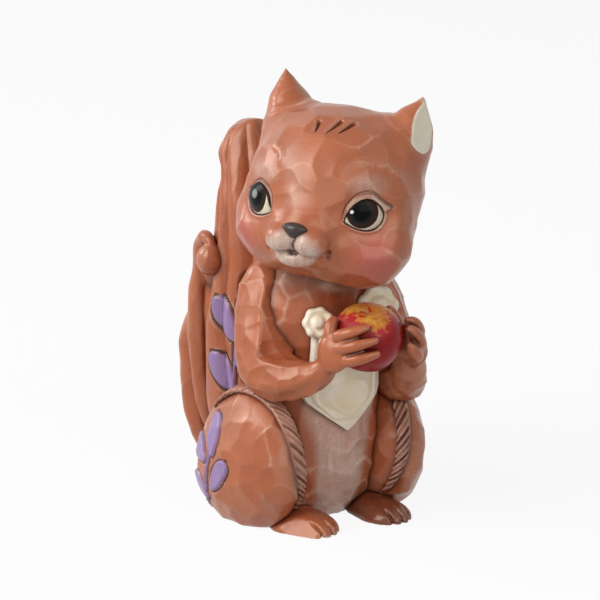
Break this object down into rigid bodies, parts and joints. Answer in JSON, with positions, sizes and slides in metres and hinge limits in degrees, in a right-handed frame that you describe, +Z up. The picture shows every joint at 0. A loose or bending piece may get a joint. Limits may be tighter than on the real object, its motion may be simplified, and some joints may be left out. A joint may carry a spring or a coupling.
{
  "type": "squirrel figurine",
  "caption": "Seated squirrel ornament in whittled-wood style, head turned, paws round a red apple, cream bib and upright fluted tail; it stands on its flat underside.",
  "frame": {"origin": "on the flat underside, below the middle of the haunches", "axes": "+Z up, the chest and feet face -Y, the animal's right side is at -X"},
  "size_m": [0.0482, 0.0701, 0.0936],
  "materials": {
    "fur": "hand-painted red-brown resin, satin, worn pale on the edges",
    "pale_fur": "dry-brushed pale brown resin, satin",
    "cream": "cream painted resin, satin",
    "apple_skin": "red painted resin, stippled orange on top, semi-gloss",
    "dark_gloss": "glossy dark brown paint"
  },
  "bodies": {
    "root": {"head": "fur", "nose": "dark_gloss", "eye_right": "dark_gloss", "eye_left": "dark_gloss", "ear_right": "fur", "ear_left": "fur", "torso": "fur", "haunch_right": "fur", "haunch_left": "fur", "foot_right": "fur", "foot_left": "fur", "haunch_trim_right": "pale_fur", "haunch_trim_left": "pale_fur", "bib": "cream", "bib_rosette_right": "cream", "bib_rosette_left": "cream", "arm_right": "fur", "arm_left": "fur", "apple": "apple_skin", "tail": "fur", "tail_curl_right": "fur", "tail_curl_left": "fur", "tail_lock_right": "fur", "tail_lock_left": "fur", "tail_lock_back": "fur"}
  },
  "joints": []
}
